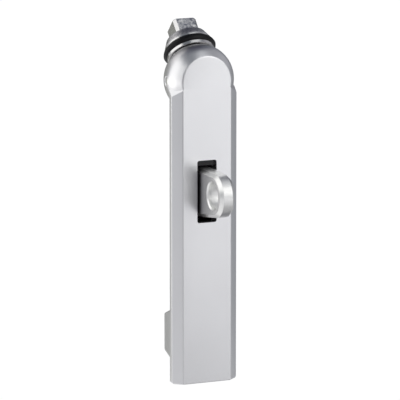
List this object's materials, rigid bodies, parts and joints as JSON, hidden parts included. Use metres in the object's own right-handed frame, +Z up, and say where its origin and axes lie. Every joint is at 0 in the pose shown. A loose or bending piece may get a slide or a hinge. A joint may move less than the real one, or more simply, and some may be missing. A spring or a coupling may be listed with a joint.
{
  "type": "padlockable handle",
  "caption": "Cast lever on a ball pivot with a square lock spindle; a staple eye stands through a slot in the lever so a padlock keeps it down.",
  "frame": {"origin": "centre of the ball head, where the spindle's axis crosses the pivot pin's axis", "axes": "+Z up along the lever to its ball head, -Y out of the lever's front face, +Y towards the door, X along the pivot pin"},
  "size_m": [0.0226, 0.0421, 0.1169],
  "materials": {
    "cast_silver": "satin silver over a zinc die casting",
    "pin_steel": "bright turned steel",
    "washer_plastic": "black acetal",
    "plated_steel": "bright zinc plating",
    "seal_rubber": "glossy black rubber",
    "guide_plastic": "black moulded nylon",
    "staple_steel": "tumbled steel with fine lines round the eye"
  },
  "bodies": {
    "spindle": {"spindle": "plated_steel", "sealing_ring": "seal_rubber"},
    "lever": {"lever": "cast_silver", "pivot_pin": "pin_steel", "pivot_washer_left": "washer_plastic", "pivot_washer_right": "washer_plastic", "slot_guide": "guide_plastic"},
    "staple": {"staple": "staple_steel"}
  },
  "joints": [
    {"name": "lever_lift", "type": "hinge", "parent": "spindle", "child": "lever", "pos_m": [0, 0, 0], "axis": [-1, 0, 0], "range_deg": [-46, 14]},
    {"name": "staple_swing", "type": "hinge", "parent": "lever", "child": "staple", "pos_m": [0, 0, 0], "axis": [1, 0, 0], "range_deg": [0, 60]}
  ]
}
